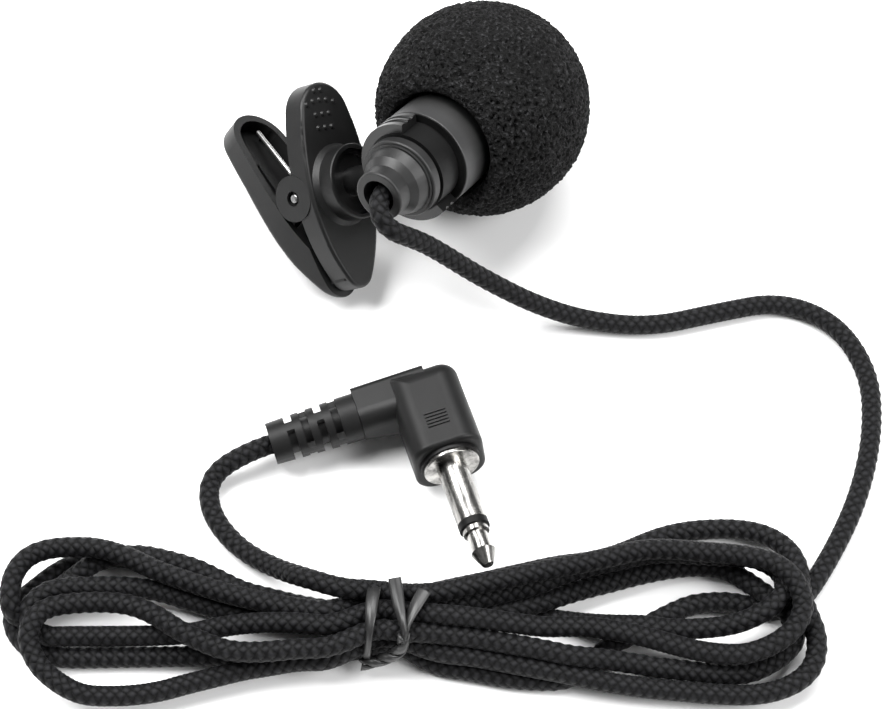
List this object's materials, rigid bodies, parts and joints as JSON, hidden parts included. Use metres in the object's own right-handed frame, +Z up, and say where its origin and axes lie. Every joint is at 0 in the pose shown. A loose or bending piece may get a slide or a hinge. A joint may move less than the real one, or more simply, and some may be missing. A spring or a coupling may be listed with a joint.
{
  "type": "lavalier microphone",
  "caption": "Lavalier microphone with foam windscreen, swivelling spring clip, hanked braided cord and right-angle mini-jack plug.",
  "frame": {"origin": "on the surface the head lies on, under the middle of the box round the head and its clip", "axes": "+Z up from the surface; +X along the head and clip's longest extent; the cord's hank lies towards -Y"},
  "size_m": [0.1012, 0.0836, 0.0252],
  "materials": {
    "foam": "open-cell foam, matt black",
    "housing_plastic": "moulded, satin",
    "grille_steel": "blackened pierced steel",
    "felt": "thin black felt",
    "capsule_aluminium": "drawn, bright",
    "diaphragm_film": "metallised film",
    "backplate_metal": "plain",
    "spacer_plastic": "moulded, plain",
    "board_laminate": "green solder mask",
    "boot_rubber": "soft black",
    "transistor_epoxy": "black epoxy",
    "solder": "bright solder",
    "wire_insulation": "coloured PVC",
    "cap_rubber": "moulded, satin",
    "anchor_plastic": "hot-melt bead",
    "holder_plastic": "moulded, semi-gloss",
    "jaw_plastic": "moulded, satin",
    "tray_plastic": "moulded, satin",
    "pin_steel": "turned, bright",
    "spring_steel": "drawn wire",
    "plug_metal": "nickel plate",
    "insulator_plastic": "moulded, black",
    "tip_metal": "nickel plate",
    "terminal_brass": "tinned",
    "overmould": "PVC, satin",
    "inner_mould": "plain inner moulding",
    "relief_rubber": "PVC, satin",
    "braid": "plaited nylon",
    "braid_bundle": "plaited nylon",
    "tie_plastic": "plastic over wire"
  },
  "bodies": {
    "mic": {"front_housing": "housing_plastic", "mic_grille": "grille_steel", "capsule_felt": "felt", "capsule_can": "capsule_aluminium", "capsule_diaphragm": "diaphragm_film", "capsule_backplate": "backplate_metal", "capsule_spacer": "spacer_plastic", "capsule_board": "board_laminate", "capsule_boot": "boot_rubber", "capsule_transistor": "transistor_epoxy", "solder_pads": "solder", "signal_wires": "wire_insulation", "rear_cap": "cap_rubber", "cord_anchor": "anchor_plastic", "cord_root": "braid", "cord_lead": "braid", "cord_hank": "braid_bundle", "cord_tail": "braid", "twist_tie": "tie_plastic", "strain_relief": "relief_rubber", "cord_in_relief": "braid", "plug_body": "overmould", "plug_core": "inner_mould", "plug_conductors": "wire_insulation", "plug_sleeve": "plug_metal", "plug_insulator": "insulator_plastic", "plug_tip": "tip_metal", "tip_terminal": "terminal_brass", "sleeve_terminal": "terminal_brass"},
    "windscreen": {"windscreen_foam": "foam"},
    "holder": {"mic_holder": "holder_plastic"},
    "clip_front": {"clip_front_jaw": "jaw_plastic", "clip_pin": "pin_steel", "clip_spring": "spring_steel"},
    "clip_rear": {"clip_rear_jaw": "tray_plastic"}
  },
  "joints": [
    {"name": "windscreen_slide", "type": "slide", "parent": "mic", "child": "windscreen", "axis": [0.5213, 0.7729, -0.3616], "range_m": [0, 0.012]},
    {"name": "holder_turn", "type": "hinge", "parent": "mic", "child": "holder", "pos_m": [0.00119, -0.00818, 0.01822], "axis": [-0.5213, -0.7729, 0.3616], "range_deg": [-120, 30]},
    {"name": "clip_swivel", "type": "hinge", "parent": "holder", "child": "clip_front", "pos_m": [-0.00733, -0.00586, 0.0109], "axis": [0.7428, -0.2024, 0.6382], "range_deg": [-30, 70]},
    {"name": "clip_open", "type": "hinge", "parent": "clip_front", "child": "clip_rear", "pos_m": [-0.0096, -0.00563, 0.0086], "axis": [0.6347, 0.5163, -0.575], "range_deg": [0, 22], "stiffness_Nm_per_rad": 0.02, "springref_deg": -34.38, "deforming": ["clip_spring"]}
  ]
}
